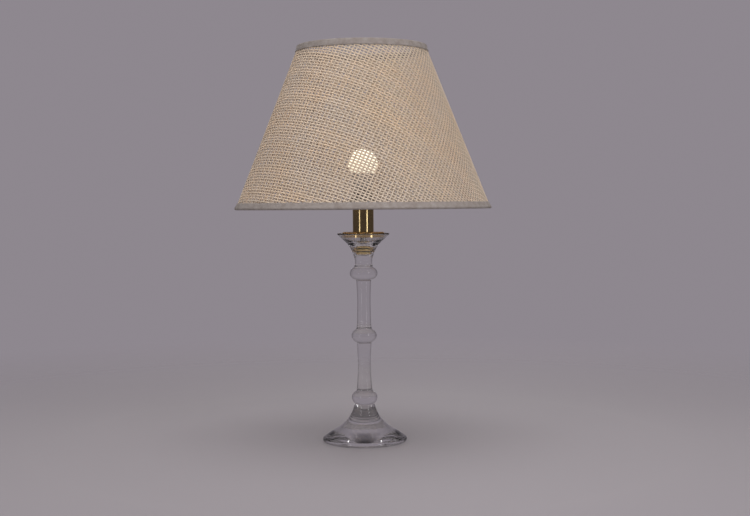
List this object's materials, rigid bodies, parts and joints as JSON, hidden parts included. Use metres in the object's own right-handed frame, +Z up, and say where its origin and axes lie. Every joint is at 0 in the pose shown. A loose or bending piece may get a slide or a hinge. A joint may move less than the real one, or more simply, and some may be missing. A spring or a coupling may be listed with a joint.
{
  "type": "table lamp",
  "caption": "Table lamp on a solid glass candlestick, with a brass-sleeved lampholder, a conical open-weave mesh shade and a small globe bulb.",
  "frame": {"origin": "on the ground under the middle of the foot", "axes": "+Z up the lamp's axis; -Y towards the front, +Y towards the cord's inlet"},
  "size_m": [0.3888, 0.3888, 0.5999],
  "materials": {
    "glass": "clear, fire-polished",
    "brass": "polished, lightly aged",
    "steel": "zinc plated",
    "contact": "bright spring bronze",
    "rubber": "matt black",
    "phenolic": "moulded black phenolic, satin",
    "bush": "moulded nylon",
    "mesh_cloth": "open weave",
    "tape": "woven cotton tape",
    "frame_wire": "white powder coat",
    "washer": "vulcanised fibre",
    "cap_metal": "nickel plated",
    "cap_glass": "black vitrite",
    "housing": "satin moulded",
    "globe": "frosted, lit",
    "board": "white solder resist",
    "chip": "phosphor",
    "circuit": "green laminate",
    "can": "sleeved can"
  },
  "bodies": {
    "stand": {"glass_candlestick": "glass", "candle_plug": "brass", "plug_rings": "rubber", "pan_cap": "brass", "nipple": "steel", "lock_nut": "steel", "sleeve_foot": "brass", "holder_sleeve": "brass", "cord_bush": "bush", "lampholder_cap": "phenolic", "lampholder_skirt": "phenolic", "lampholder_insert": "phenolic", "screw_shell": "contact", "centre_contact": "contact", "side_contact": "contact", "terminal_screws": "steel"},
    "shade": {"shade_cover": "mesh_cloth", "bottom_trim": "tape", "top_trim": "tape", "bottom_wire_ring": "frame_wire", "top_wire_ring": "frame_wire", "fitter_hub": "frame_wire", "fitter_arms": "frame_wire"},
    "ring_washer": {"ring_washer": "washer"},
    "ring_nut": {"ring_nut": "phenolic"},
    "bulb_tip": {"bulb_tip": "steel"},
    "bulb": {"bulb_insulator": "cap_glass", "bulb_cap": "cap_metal", "bulb_housing": "housing", "bulb_globe": "globe", "led_board": "board", "led_chips": "chip", "driver_board": "circuit", "driver_capacitor": "can"}
  },
  "joints": [
    {"name": "shade_turn", "type": "hinge", "parent": "stand", "child": "shade", "pos_m": [0, 0, 0.3646], "axis": [0, 0, 1], "continuous": true},
    {"name": "ring_travel", "type": "slide", "parent": "stand", "child": "ring_washer", "axis": [0, 0, 1], "range_m": [0, 0.01201]},
    {"name": "ring_turn", "type": "hinge", "parent": "ring_washer", "child": "ring_nut", "pos_m": [0, 0, 0.37], "axis": [0, 0, 1], "range_deg": [0, 2160]},
    {"name": "bulb_travel", "type": "slide", "parent": "stand", "child": "bulb_tip", "axis": [0, 0, 1], "range_m": [0, 0.00847]},
    {"name": "bulb_turn", "type": "hinge", "parent": "bulb_tip", "child": "bulb", "pos_m": [0, 0, 0.375], "axis": [0, 0, 1], "range_deg": [0, 1080]}
  ],
  "couplings": [
    {"joint": "ring_travel", "follows": "ring_turn", "m_per_rad": 0.00031831},
    {"joint": "bulb_travel", "follows": "bulb_turn", "m_per_rad": 0.00044917}
  ]
}
